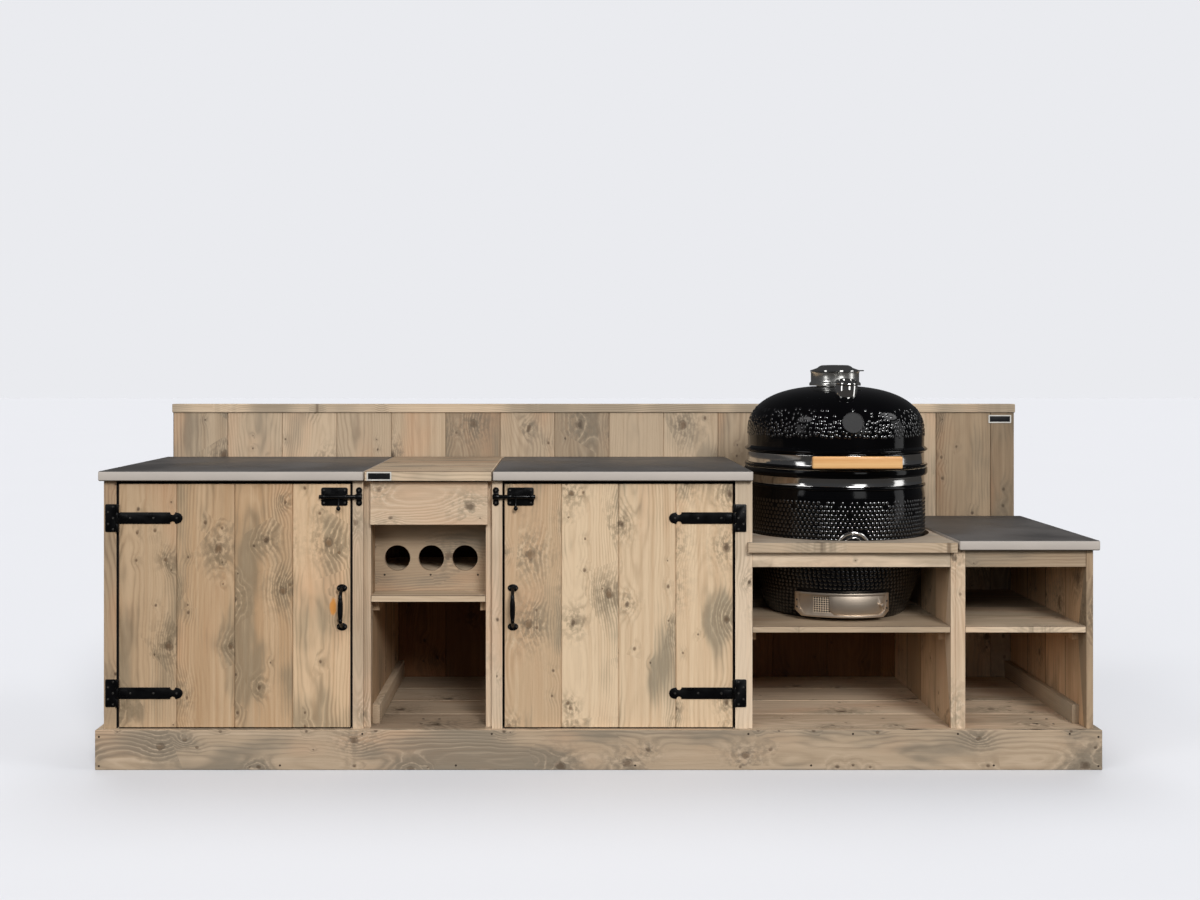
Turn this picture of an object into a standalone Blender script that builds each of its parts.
"""Outdoor kitchen unit of scaffold wood: two ledged-door cabinets, a bottle bay, a bay that
carries a ceramic kamado grill and a low end bay, on one plinth with a boarded splash back.

Run with: blender --background --python part.py
X runs along the front, left to right, Y runs from the front to the back, Z is up, in metres.
The origin is on the ground at the middle of the carcass.
"""
import math

import bmesh
import bpy
import numpy as np
from mathutils import Matrix, Vector

# Section widths along the front, post line to post line
LEFT_CABINET_WIDTH = 0.785
BOTTLE_BAY_WIDTH = 0.390
RIGHT_CABINET_WIDTH = 0.773
GRILL_BAY_WIDTH = 0.631
END_BAY_WIDTH = 0.415
# Heights
PLINTH_HEIGHT = 0.120
HIGH_TOP = 0.900
LOW_TOP = 0.691
GRILL_TOP = 0.684
SPLASH_TOP = 1.086
BAY_SHELF_TOP = 0.429
BOTTLE_SHELF_TOP = 0.519
# Depth, from the front of the plinth and of the worktops to the rear rail
DEPTH = 0.760
# Timber sections
BOARD = 0.020
SPLASH_BOARD = 0.018
SPLASH_BOARD_WIDTH = 0.193
LEAST_BOARD_WIDTH = 0.050
RAIL_THICKNESS = 0.022
THIN_PANEL = 0.015
TOP_THICKNESS = 0.030
GRILL_TOP_THICKNESS = 0.029
CAP_THICKNESS = 0.030
CAP_OVERHANG = 0.005
CAP_END_OVERHANG = 0.003
POST_DEPTH = 0.045
LEFT_POST = 0.038
BOTTLE_LEFT_POST = 0.032
BOTTLE_RIGHT_POST = 0.031
GRILL_LEFT_POST = 0.037
END_POST = 0.028
RAIL = 0.045
JOIST = 0.045
GROOVE_WIDTH = 0.004
GROOVE_DEPTH = 0.003
ARRIS = 0.0015
# Gaps
CLEARANCE = 0.0003
END_OVERHANG = 0.012
TOP_JOINT = 0.003
SPLASH_INSET = 0.008
GROUND_GAP = 0.004
DOOR_GAP = 0.007
DOOR_LATCH_GAP = 0.006
DOOR_BOTTOM_GAP = 0.004
DOOR_TOP_GAP = 0.010
# Doors
DOOR_LEDGE = 0.018
LEDGE_WIDTH = 0.095
LEDGE_INSET = 0.060
DOOR_BOARDS = 4
# Bottle bay
BOTTLE_PANEL = 0.020
BAY_PANEL_RECESS = 0.020
APRON_LEFT_GAP = 0.021
APRON_RIGHT_GAP = 0.013
APRON_BOTTOM = 0.736
APRON_TOP_GAP = 0.004
RACK_RECESS = 0.130
RACK_HOLE = 0.080
RACK_HOLE_PITCH = 0.105
RACK_HOLE_HEIGHT = 0.621
RACK_TOP = 0.800
SUPPORT_TOP = 0.581
SUPPORT_THICKNESS = 0.024
SUPPORT_DEPTH = 0.300
# Low bays
LOW_APRON_BOTTOM = 0.608
LOW_APRON_THICKNESS = 0.020
CLEAT = 0.032
SHELF_SETBACK = 0.002
# T-hinges
HINGE_PLATE = (0.037, 0.084)
HINGE_LEAF = 0.002
KNUCKLE_RADIUS = 0.005
PIN_RADIUS = 0.0025
HINGE_PLAY = 0.0003
STRAP_LENGTH = 0.197
STRAP_WIDTH = 0.035
STRAP_NOTCH = 0.008
STRAP_NOTCH_FROM_TIP = 0.030
STRAP_TIP_RADIUS = 0.016
STRAP_TAPER = (0.010, 0.002)
HINGE_CORNER = 0.004
PIN_END_GAP = 0.001
HINGE_HEIGHTS = (0.227, 0.757)
# Barrel bolts
BOLT_PLATE = (0.080, 0.055)
BOLT_LEAF = 0.002
BOLT_FROM_EDGE = 0.009
BOLT_HEIGHT = 0.822
BOLT_ROD_RADIUS = 0.006
BOLT_PLAY = 0.0004
BOLT_STAPLE = 0.010
BOLT_STAPLE_WALL = 0.002
BOLT_STAPLE_LAP = 0.002
BOLT_CORNER = 0.006
BOLT_TAIL = 0.005
BOLT_ARM_RADIUS = 0.003
BOLT_ARM_FROM_END = 0.026
BOLT_ARM_DROP = 0.035
BOLT_BALL_RADIUS = 0.007
KEEPER = (0.019, 0.057)
KEEPER_FROM_POST_EDGE = 0.010
KEEPER_WAIST = 0.0133
# Bow handles
HANDLE_LENGTH = 0.140
HANDLE_STAND = 0.034
HANDLE_GRIP_RADIUS = 0.0075
HANDLE_NECK_RADIUS = 0.0045
HANDLE_ROSE = (0.024, 0.034)
HANDLE_ROSE_THICKNESS = 0.003
HANDLE_HEIGHT = 0.487
HANDLE_FROM_EDGE = 0.026
HANDLE_SEAT = 0.001
HANDLE_FLARE = 1.9
HANDLE_CURVE = 0.7
HANDLE_SWELL = 0.17
# Kamado grill: radii from its axis, heights from the shelf that it stands on
GRILL_FROM_FRONT = 0.346
GRILL_OFF_CENTRE = 0.014
GRILL_HOLE_RADIUS = 0.297
GRILL_BODY_RADIUS = 0.284
GRILL_FOOT_RADIUS = 0.218
GRILL_BELLY = 0.271
FOOT_CHAMFER = 0.004
GRILL_SHOULDER = 0.381
GRILL_RIM = 0.4665
GRILL_RIM_RADIUS = 0.2925
BAND_SEAT_RADIUS = 0.2800
BAND_RADIUS = 0.2830
BEAD_HEIGHT = 0.012
LOWER_BAND = (0.416, 0.443)
UPPER_BAND = (0.479, 0.513)
GRILL_WALL = 0.026
GRILL_FLOOR = 0.030
RIM_ROUND = 0.003
NECK_RISE = 0.006
BEAD_RADIUS = 0.2865
BEAD_RISE = 0.004
DRAFT_WINDOW_SIDE = 12.0
DRAFT_WINDOW_SILL = 0.018
DRAFT_WINDOW_HEAD = 0.014
GASKET_THICKNESS = 0.0035
GASKET_WIDTH = 0.014
GASKET_INSET = 0.004
DOME_BASE = 0.571
DOME_TOP = 0.7255
DOME_SHAPE = 2.45
DOME_RADIUS = 0.2830
DOME_DISH = 0.004
DOME_DROP = 0.0156
CHIMNEY_RADIUS = 0.0775
CHIMNEY_WALL = 0.002
CHIMNEY_TOP = 0.771
CHIMNEY_FLANGE = 0.010
CHIMNEY_LIP = 0.005
CHIMNEY_LIP_SLOPE = 0.002
CHIMNEY_NECK = 0.020
CHIMNEY_HOLE = 0.060
CAP_TOP = 0.793
CAP_SHEET = 0.003
CAP_CROWN = (0.042, 0.001)
CAP_SHOULDER = (0.058, 0.010)
CAP_LIP = (0.002, 0.004)
CAP_PLUG = 0.005
VENT_HOLES = 5
VENT_HOLE = 0.008
VENT_CIRCLE = 0.026
VENT_PLAY = 0.0012
VENT_TAB = (0.020, 0.016, 0.004)
VENT_TAB_LAP = 0.004
GAUGE_RADIUS = 0.0345
GAUGE_LENGTH = 0.051
GAUGE_SUNK = 0.012
GAUGE_BEZEL = 0.003
GAUGE_FROM_AXIS = 0.175
GAUGE_TILT = 15.0
GAUGE_STEM = 0.004
GAUGE_STEM_LENGTH = 0.055
HINGE_REACH = 0.315
HINGE_RISE = 0.520
HINGE_SHEET = 0.004
HINGE_INSET = 0.002
HINGE_PAD_ANGLE = 10.0
HINGE_EAR = 0.004
HINGE_EAR_RADIUS = 0.012
HINGE_EAR_FOOT = (0.008, 0.004)
HINGE_EAR_NECK = 0.010
SPRING_TURNS = 8
SPRING_WIRE = 0.0025
SPRING_STEPS = 8
SPRING_LENGTH = 0.066
HINGE_PIN_RADIUS = 0.006
HANDLE_SLAT = (0.272, 0.018, 0.037)
HANDLE_REACH = 0.339
HANDLE_SPREAD = 0.190
SLAT_ROUND = 0.005
BRACKET_WIDTH = 0.018
BRACKET_FOOT = 0.026
BRACKET_SHEET = 0.003
DRAFT_BOTTOM = 0.013
DRAFT_TOP = 0.087
DRAFT_HALF_ANGLE = 33.0
DRAFT_TURN = 6.0
DRAFT_TRAVEL = 22.0
DRAFT_WALL = 0.003
DRAFT_RAIL = 0.004
DRAFT_LIP = 0.007
DRAFT_CHAMFER = 0.018
DRAFT_END = 1.5
DRAFT_LIP_END = 3.0
DRAFT_OPENING_SIDE = 13.0
DRAFT_OPENING_SILL = 0.014
DRAFT_OPENING_HEAD = 0.012
DRAFT_SLIDE_PLAY = 0.4
DRAFT_KNOB = (0.0065, 0.012)
DRAFT_KNOB_SIDE = 4.0
# What lies in the grill
FIREBOX_WALL = 0.022
FIREBOX_GAP = 0.010
FIREBOX_TOP = 0.395
FIREBOX_SHOULDER = 0.300
FIREBOX_WAIST = 0.180
FIREBOX_TAPER = 0.016
FIREBOX_FOOT_GAP = 0.030
FIREBOX_WINDOW_SILL = 0.012
FIREBOX_WINDOW_HEAD = 0.075
FIREBOX_WINDOW_ANGLE = 16.0
GRATE_RADIUS = 0.119
GRATE_SEAT = 0.107
GRATE_LEDGE = 0.010
GRATE_PLAY = 0.003
GRATE_POCKET = 0.014
GRATE_THICKNESS = 0.010
GRATE_SLOTS = 7
GRATE_SLOT_PITCH = 0.030
GRATE_SLOT_WIDTH = 0.012
GRATE_RIM = 0.016
GRID_GAP = 0.004
GRID_RING = 0.006
GRID_BARS = 13
GRID_PITCH = 0.036
GRID_WIRE = 0.004
GRID_CROSS_WIDTH = 0.006
CUTTER_REACH = 0.030
SEGMENTS = 32

WIDTH = (LEFT_CABINET_WIDTH + BOTTLE_BAY_WIDTH + RIGHT_CABINET_WIDTH
         + GRILL_BAY_WIDTH + END_BAY_WIDTH)
LEFT = -WIDTH / 2
RIGHT = WIDTH / 2
BOTTLE_LEFT = LEFT + LEFT_CABINET_WIDTH
BOTTLE_RIGHT = BOTTLE_LEFT + BOTTLE_BAY_WIDTH
GRILL_LEFT = BOTTLE_RIGHT + RIGHT_CABINET_WIDTH
GRILL_RIGHT = GRILL_LEFT + GRILL_BAY_WIDTH
FRONT = -DEPTH / 2
BACK = DEPTH / 2
FACE = FRONT + BOARD
SPLASH_BACK = BACK - RAIL_THICKNESS
SPLASH_Y = SPLASH_BACK - SPLASH_BOARD
INNER_BACK = SPLASH_Y - CLEARANCE
BODY_TOP = HIGH_TOP - TOP_THICKNESS - CLEARANCE
LOW_BODY_TOP = LOW_TOP - TOP_THICKNESS - CLEARANCE
GRILL_BODY_TOP = GRILL_TOP - GRILL_TOP_THICKNESS - CLEARANCE
FLOOR_TOP = PLINTH_HEIGHT
ON_FLOOR = FLOOR_TOP + CLEARANCE
DOOR_BOTTOM = PLINTH_HEIGHT + DOOR_BOTTOM_GAP
DOOR_TOP = HIGH_TOP - TOP_THICKNESS - DOOR_TOP_GAP
TOP_BACK = SPLASH_Y - CAP_OVERHANG - 0.001
GRILL_X = (GRILL_LEFT + GRILL_RIGHT) / 2 + GRILL_OFF_CENTRE
GRILL_Y = FRONT + GRILL_FROM_FRONT
GRILL_Z = BAY_SHELF_TOP + CLEARANCE

FINISHES = {
    "wood": ((0.47, 0.36, 0.24), 0.75, 0.0),
    "dark_slab": ((0.085, 0.085, 0.09), 0.6, 0.0),
    "black_iron": ((0.012, 0.012, 0.013), 0.4, 0.6),
    "glazed": ((0.008, 0.008, 0.009), 0.15, 0.0),
    "steel": ((0.62, 0.62, 0.62), 0.25, 1.0),
    "bamboo": ((0.72, 0.45, 0.19), 0.5, 0.0),
    "felt": ((0.06, 0.06, 0.06), 0.9, 0.0),
    "firebrick": ((0.55, 0.42, 0.32), 0.85, 0.0),
    "cast_iron": ((0.05, 0.05, 0.05), 0.6, 0.7),
}


def clear_scene():
    """Take every object out of the open file."""
    for thing in list(bpy.data.objects):
        bpy.data.objects.remove(thing, do_unlink=True)


def finish_material(name, finish):
    """A Principled material for one piece."""
    colour, roughness, metallic = FINISHES[finish]
    material = bpy.data.materials.new(name)
    material.use_nodes = True
    shader = material.node_tree.nodes["Principled BSDF"]
    shader.inputs["Base Color"].default_value = (*colour, 1.0)
    shader.inputs["Roughness"].default_value = roughness
    shader.inputs["Metallic"].default_value = metallic
    return material


def add_piece(name, mesh_data, finish, origin=(0.0, 0.0, 0.0), smooth=False):
    """Turn a bmesh in world coordinates into a piece whose origin is where it is asked."""
    bmesh.ops.recalc_face_normals(mesh_data, faces=mesh_data.faces)
    bmesh.ops.translate(mesh_data, verts=mesh_data.verts, vec=-Vector(origin))
    mesh = bpy.data.meshes.new(name)
    mesh_data.to_mesh(mesh)
    mesh_data.free()
    piece = bpy.data.objects.new(name, mesh)
    piece.location = origin
    bpy.context.collection.objects.link(piece)
    if finish:
        mesh.materials.append(finish_material(name, finish))
    if smooth:
        mesh.shade_smooth()
        mesh.set_sharp_from_angle(angle=math.radians(35))
    return piece


def as_guide(piece):
    """Keep a shape as a Boolean operand only."""
    piece.hide_render = True
    piece.display_type = "WIRE"
    return piece


def combine(piece, operation, *shapes):
    """Boolean the shapes into the piece."""
    for shape in shapes:
        as_guide(shape)
        step = piece.modifiers.new(operation.title(), "BOOLEAN")
        step.operation = operation
        step.solver = "EXACT"
        step.object = shape
    return piece


def cut(piece, *shapes):
    return combine(piece, "DIFFERENCE", *shapes)


def join(piece, *shapes):
    return combine(piece, "UNION", *shapes)


def ease_edges(piece, width=ARRIS):
    """Plane a small arris on every outer edge, and leave inner corners sharp."""
    data = bmesh.new()
    data.from_mesh(piece.data)
    weight = data.edges.layers.float.new("bevel_weight_edge")
    for edge in data.edges:
        edge[weight] = float(edge.is_convex and edge.calc_face_angle() > math.radians(40))
    data.to_mesh(piece.data)
    data.free()
    bevel = piece.modifiers.new("Arris", "BEVEL")
    bevel.width = width
    bevel.segments = 1
    bevel.limit_method = "WEIGHT"
    return piece


def block_mesh(low, high):
    """A rectangular block between two corners."""
    data = bmesh.new()
    size = [b - a for a, b in zip(low, high)]
    middle = [(a + b) / 2 for a, b in zip(low, high)]
    place = Matrix.Translation(middle) @ Matrix.Diagonal((*size, 1.0))
    bmesh.ops.create_cube(data, size=1.0, matrix=place)
    return data


def block(name, low, high, finish="wood", origin=(0.0, 0.0, 0.0)):
    return add_piece(name, block_mesh(low, high), finish, origin)


def board(name, low, high):
    """A planed board with eased edges."""
    return ease_edges(block(name, low, high))


def prism_mesh(outline, low, high, axis):
    """Extrude a flat outline along X, Y or Z. The outline is in the two other axes, in order."""
    corner = {
        "X": lambda a, b, c: (c, a, b),
        "Y": lambda a, b, c: (a, c, b),
        "Z": lambda a, b, c: (a, b, c),
    }[axis]
    data = bmesh.new()
    face = data.faces.new([data.verts.new(corner(a, b, low)) for a, b in outline])
    pulled = bmesh.ops.extrude_face_region(data, geom=[face])
    moved = [item for item in pulled["geom"] if isinstance(item, bmesh.types.BMVert)]
    bmesh.ops.translate(data, verts=moved, vec=Vector(corner(0.0, 0.0, high - low)))
    return data


def prism(name, outline, low, high, axis, finish="wood", origin=(0.0, 0.0, 0.0), smooth=False):
    return add_piece(name, prism_mesh(outline, low, high, axis), finish, origin, smooth)


def arc(centre, radius, start, end, steps):
    """Points on an arc, angles in degrees, both ends included."""
    angles = np.radians(np.linspace(start, end, steps + 1))
    return [(centre[0] + radius * math.cos(a), centre[1] + radius * math.sin(a)) for a in angles]


def turned_mesh(profile, segments, centre, start=0.0, sweep=360.0):
    """Spin a closed profile of (radius, height) points about a vertical axis."""
    data = bmesh.new()
    turn = Matrix.Rotation(math.radians(start), 4, "Z")
    points = [turn @ Vector((radius, 0.0, height)) for radius, height in profile]
    verts = [data.verts.new(point) for point in points]
    edges = [data.edges.new((a, b)) for a, b in zip(verts, verts[1:] + verts[:1])]
    full = sweep >= 360.0
    if not full:
        edges = [data.faces.new(verts)]
        geometry = edges + verts + list(data.edges)
    else:
        geometry = verts + edges
    bmesh.ops.spin(data, geom=geometry, cent=(0, 0, 0), axis=(0, 0, 1), dvec=(0, 0, 0),
                   angle=math.radians(sweep), steps=segments, use_merge=full)
    bmesh.ops.remove_doubles(data, verts=data.verts, dist=1e-6)
    bmesh.ops.translate(data, verts=data.verts, vec=Vector(centre))
    return data


def turned(name, profile, finish, centre, segments=SEGMENTS, origin=(0.0, 0.0, 0.0)):
    return add_piece(name, turned_mesh(profile, segments, centre), finish, origin, smooth=True)


def rod_mesh(start, end, radius, segments=12):
    """A round bar from one point to another."""
    data = bmesh.new()
    start, end = Vector(start), Vector(end)
    length = (end - start).length
    turn = (end - start).to_track_quat("Z", "Y").to_matrix().to_4x4()
    place = Matrix.Translation((start + end) / 2) @ turn
    bmesh.ops.create_cone(data, cap_ends=True, segments=segments, radius1=radius,
                          radius2=radius, depth=length, matrix=place)
    return data


def rod(name, start, end, radius, finish=None, segments=12, origin=(0.0, 0.0, 0.0)):
    return add_piece(name, rod_mesh(start, end, radius, segments), finish, origin, smooth=True)


def ball(name, centre, radius, segments=12):
    data = bmesh.new()
    bmesh.ops.create_uvsphere(data, u_segments=segments, v_segments=segments // 2 + 1,
                              radius=radius, matrix=Matrix.Translation(centre))
    return add_piece(name, data, None, smooth=True)


def grooved_outline(low, high, front, back, joints, both=True):
    """The section across a boarded panel, with a V at each joint between two boards."""
    half = GROOVE_WIDTH / 2
    side = [(low, front)]
    for place in joints:
        side += [(place - half, front), (place, front + GROOVE_DEPTH), (place + half, front)]
    side += [(high, front), (high, back)]
    if both:
        for place in reversed(joints):
            side += [(place + half, back), (place, back - GROOVE_DEPTH), (place - half, back)]
    return side + [(low, back)]


def joints_between(low, high, width):
    """Joints of boards of about one width that fill a run."""
    count = max(1, round((high - low) / width))
    return [low + (high - low) * i / count for i in range(1, count)]


def joints_from(low, high, width):
    """Joints of whole boards laid from one end, the last board cut to what is left."""
    joints = []
    place = low + width
    while place < high - LEAST_BOARD_WIDTH:
        joints.append(place)
        place += width
    return joints


def build_plinth():
    """Skirting boards round the front and both ends."""
    out, inner = RIGHT + CLEARANCE + BOARD, RIGHT + CLEARANCE
    back = SPLASH_BACK
    outline = [(-out, FRONT), (out, FRONT), (out, back), (inner, back),
               (inner, FACE - CLEARANCE), (-inner, FACE - CLEARANCE), (-inner, back), (-out, back)]
    ease_edges(prism("plinth", outline, 0.0, PLINTH_HEIGHT, "Z"))


def divider_lines():
    """Left and right faces of each front post that stands on the ground."""
    return [(BOTTLE_LEFT - BOTTLE_LEFT_POST, BOTTLE_LEFT),
            (BOTTLE_RIGHT, BOTTLE_RIGHT + BOTTLE_RIGHT_POST),
            (GRILL_LEFT - GRILL_LEFT_POST, GRILL_LEFT),
            (GRILL_RIGHT, GRILL_RIGHT + END_POST)]


def build_floor():
    """A ladder of joists on the ground, and the floor boards on it."""
    low, high = LEFT + BOARD + CLEARANCE, RIGHT - BOARD - CLEARANCE
    front, back = FACE + POST_DEPTH + CLEARANCE, INNER_BACK
    top = FLOOR_TOP - BOARD - CLEARANCE
    frame = block("floor_frame", (low, front, 0.0), (high, back, top))
    lines = [low + JOIST, BOTTLE_LEFT, BOTTLE_RIGHT, GRILL_LEFT, GRILL_RIGHT, high - JOIST]
    lines = sorted(lines[:3] + [0.0] + lines[3:])
    for i, (a, b) in enumerate(zip(lines, lines[1:])):
        a = a + (JOIST / 2 if i else 0.0)
        b = b - (JOIST / 2 if i < len(lines) - 2 else 0.0)
        cut(frame, block(f"floor_gap_{i}", (a, front + JOIST, -0.05), (b, back - JOIST, top + 0.05),
                         None))
    joints = joints_between(FACE, INNER_BACK, SPLASH_BOARD_WIDTH)
    outline = grooved_outline(FACE, INNER_BACK, -FLOOR_TOP, -(FLOOR_TOP - BOARD), joints, False)
    outline = [(y, -z) for y, z in outline]
    boards = prism("floor_boards", outline, low, high, "X")
    ends = [(LEFT, LEFT + LEFT_POST)] + divider_lines()
    for i, (a, b) in enumerate(ends):
        cut(boards, block(f"floor_notch_{i}", (a - CLEARANCE, FACE - 0.05, 0.0),
                          (b + CLEARANCE, FACE + POST_DEPTH + CLEARANCE, FLOOR_TOP + 0.05), None))


def boarded_side(name, outer, inner, top):
    """A carcass end of upright boards."""
    joints = joints_between(FACE, INNER_BACK, SPLASH_BOARD_WIDTH)
    outline = grooved_outline(FACE, INNER_BACK, outer, inner, joints, False)
    if outer > inner:
        outline = [(y, 2 * outer - x) if FACE < y < INNER_BACK and x > outer else (y, x)
                   for y, x in outline]
    outline = [(x, y) for y, x in outline]
    return prism(name, outline, 0.0, top, "Z")


def build_sides():
    """The two ends and the four dividers, each with the front post that it is screwed to."""
    left = boarded_side("left_side", LEFT, LEFT + BOARD, BODY_TOP)
    join(left, block("left_post", (LEFT + BOARD / 2, FACE, 0.0),
                     (LEFT + LEFT_POST, FACE + POST_DEPTH, BODY_TOP), None))
    right = boarded_side("right_side", RIGHT, RIGHT - BOARD, LOW_BODY_TOP)
    join(right, cleat("end_right", RIGHT - BOARD, -1, BAY_SHELF_TOP))
    bay_front = FACE + BAY_PANEL_RECESS
    overlap = BOARD / 2
    (a, b), (c, d), (e, f), (g, h) = divider_lines()
    post_back = FACE + POST_DEPTH
    one = block("bottle_bay_left_side", (BOTTLE_LEFT, bay_front, ON_FLOOR),
                (BOTTLE_LEFT + BOTTLE_PANEL, INNER_BACK, BODY_TOP))
    post = prism("bottle_left_post", [(a, FACE), (b, FACE), (b, bay_front), (b + overlap, bay_front),
                                      (b + overlap, post_back), (a, post_back)], ON_FLOOR, BODY_TOP,
                 "Z", None)
    join(one, post, block("bottle_left_foot", (a, FACE, 0.0), (b, post_back, 0.3), None),
         cleat("bottle_left", BOTTLE_LEFT + BOTTLE_PANEL, 1, BOTTLE_SHELF_TOP))
    two = block("bottle_bay_right_side", (BOTTLE_RIGHT - BOTTLE_PANEL, bay_front, ON_FLOOR),
                (BOTTLE_RIGHT, INNER_BACK, BODY_TOP))
    post = prism("bottle_right_post", [(c, FACE), (d, FACE), (d, post_back), (c - overlap, post_back),
                                       (c - overlap, bay_front), (c, bay_front)], ON_FLOOR, BODY_TOP,
                 "Z", None)
    join(two, post, block("bottle_right_foot", (c, FACE, 0.0), (d, post_back, 0.3), None),
         cleat("bottle_right", BOTTLE_RIGHT - BOTTLE_PANEL, -1, BOTTLE_SHELF_TOP))
    three = block("grill_bay_left_side", (GRILL_LEFT - overlap, FACE + SHELF_SETBACK, ON_FLOOR),
                  (GRILL_LEFT + THIN_PANEL, INNER_BACK, BODY_TOP))
    join(three, block("grill_left_post", (e, FACE, 0.0), (f, post_back, BODY_TOP), None),
         cleat("grill_left", GRILL_LEFT + THIN_PANEL, 1, BAY_SHELF_TOP),
         cleat("grill_left_top", GRILL_LEFT + THIN_PANEL, 1, GRILL_BODY_TOP + CLEARANCE + BOARD))
    four = block("grill_bay_right_side", (GRILL_RIGHT - THIN_PANEL, FACE + SHELF_SETBACK, ON_FLOOR),
                 (GRILL_RIGHT + overlap, INNER_BACK, GRILL_BODY_TOP))
    join(four, block("end_post", (g, FACE, 0.0), (h, post_back, LOW_BODY_TOP), None),
         block("end_back_post", (g, INNER_BACK - POST_DEPTH, ON_FLOOR), (h, INNER_BACK, LOW_BODY_TOP),
               None),
         cleat("grill_right", GRILL_RIGHT - THIN_PANEL, -1, BAY_SHELF_TOP),
         cleat("end_left", GRILL_RIGHT + overlap, 1, BAY_SHELF_TOP))


def cleat(name, wall, side, shelf_top):
    """A batten under a shelf's end, sunk a little into the board that carries it."""
    far = wall + side * BOARD
    near = wall - side * BOARD / 4
    return block(f"{name}_cleat", (min(near, far), FACE + POST_DEPTH + BOARD,
                                   shelf_top - BOARD - CLEARANCE - CLEAT),
                 (max(near, far), INNER_BACK - POST_DEPTH, shelf_top - BOARD - CLEARANCE), None)


def build_splash():
    """The boarded back, the rail behind it and the cap on top."""
    end = WIDTH / 2 - SPLASH_INSET
    top = SPLASH_TOP - CAP_THICKNESS - CLEARANCE
    joints = joints_from(-end, end, SPLASH_BOARD_WIDTH)
    outline = grooved_outline(-end, end, SPLASH_Y, SPLASH_BACK, joints)
    prism("back_boards", outline, GROUND_GAP, top, "Z")
    board("back_rail", (-end, SPLASH_BACK + CLEARANCE, top - 2 * RAIL), (end, BACK, top))
    board("splash_cap", (-end - CAP_END_OVERHANG, SPLASH_Y - CAP_OVERHANG,
                         SPLASH_TOP - CAP_THICKNESS),
          (end + CAP_END_OVERHANG, BACK, SPLASH_TOP))


def build_tops():
    """Dark slabs over the cabinets and the end bay, wood over the bottle and grill bays."""
    under = HIGH_TOP - TOP_THICKNESS
    slabs = [("worktop_left", LEFT - END_OVERHANG, BOTTLE_LEFT + TOP_JOINT - CLEARANCE, HIGH_TOP),
             ("worktop_right", BOTTLE_RIGHT + TOP_JOINT, GRILL_LEFT + THIN_PANEL, HIGH_TOP),
             ("worktop_low", GRILL_RIGHT + 2 * TOP_JOINT, RIGHT + END_OVERHANG + TOP_JOINT, LOW_TOP)]
    for name, low, high, top in slabs:
        slab = block(name, (low, FRONT, top - TOP_THICKNESS), (high, TOP_BACK, top), "dark_slab")
        ease_edges(slab, 2 * ARRIS)
    board("bottle_bay_top", (BOTTLE_LEFT + 2 * TOP_JOINT, FRONT, under),
          (BOTTLE_RIGHT - CLEARANCE, TOP_BACK, HIGH_TOP))
    low, high = GRILL_LEFT, GRILL_RIGHT - CLEARANCE
    inner = GRILL_LEFT + THIN_PANEL + CLEARANCE
    outline = [(low, FRONT), (high, FRONT), (high, TOP_BACK), (inner, TOP_BACK),
               (inner, FACE - CLEARANCE), (low, FACE - CLEARANCE)]
    under = GRILL_TOP - GRILL_TOP_THICKNESS
    top = prism("grill_top", outline, under, GRILL_TOP, "Z")
    cut(top, rod("grill_hole", (GRILL_X, GRILL_Y, under - 0.05), (GRILL_X, GRILL_Y, GRILL_TOP + 0.05),
                 GRILL_HOLE_RADIUS, segments=SEGMENTS + 8))


def build_aprons():
    """Boards that close the front under the low tops and over the bottle rack."""
    board("bottle_bay_apron", (BOTTLE_LEFT + APRON_LEFT_GAP, FACE, APRON_BOTTOM),
          (BOTTLE_RIGHT - APRON_RIGHT_GAP, FACE + BAY_PANEL_RECESS - CLEARANCE,
           HIGH_TOP - TOP_THICKNESS - APRON_TOP_GAP))
    back = FACE + LOW_APRON_THICKNESS
    board("grill_bay_apron", (GRILL_LEFT + THIN_PANEL + CLEARANCE, FACE + SHELF_SETBACK,
                              LOW_APRON_BOTTOM),
          (GRILL_RIGHT - THIN_PANEL - CLEARANCE, back, GRILL_BODY_TOP))
    board("end_bay_apron", (GRILL_RIGHT + END_POST + CLEARANCE, FACE + SHELF_SETBACK,
                            LOW_APRON_BOTTOM),
          (RIGHT - BOARD - CLEARANCE, back, LOW_BODY_TOP))


def build_shelves():
    """Shelves on their cleats, with the end one notched round the post."""
    front = FACE + SHELF_SETBACK
    board("bottle_shelf", (BOTTLE_LEFT + BOTTLE_PANEL + CLEARANCE, FACE + BAY_PANEL_RECESS,
                           BOTTLE_SHELF_TOP - BOARD),
          (BOTTLE_RIGHT - BOTTLE_PANEL - CLEARANCE, INNER_BACK, BOTTLE_SHELF_TOP))
    board("grill_shelf", (GRILL_LEFT + THIN_PANEL + CLEARANCE, front, BAY_SHELF_TOP - BOARD),
          (GRILL_RIGHT - THIN_PANEL - CLEARANCE, INNER_BACK, BAY_SHELF_TOP))
    low = GRILL_RIGHT + END_POST + CLEARANCE
    wall = GRILL_RIGHT + BOARD / 2 + CLEARANCE
    behind = FACE + POST_DEPTH + CLEARANCE
    back = INNER_BACK - POST_DEPTH - CLEARANCE
    high = RIGHT - BOARD - CLEARANCE
    outline = [(low, front), (high, front), (high, INNER_BACK), (low, INNER_BACK), (low, back),
               (wall, back), (wall, behind), (low, behind)]
    ease_edges(prism("end_shelf", outline, BAY_SHELF_TOP - BOARD, BAY_SHELF_TOP, "Z"))


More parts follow.
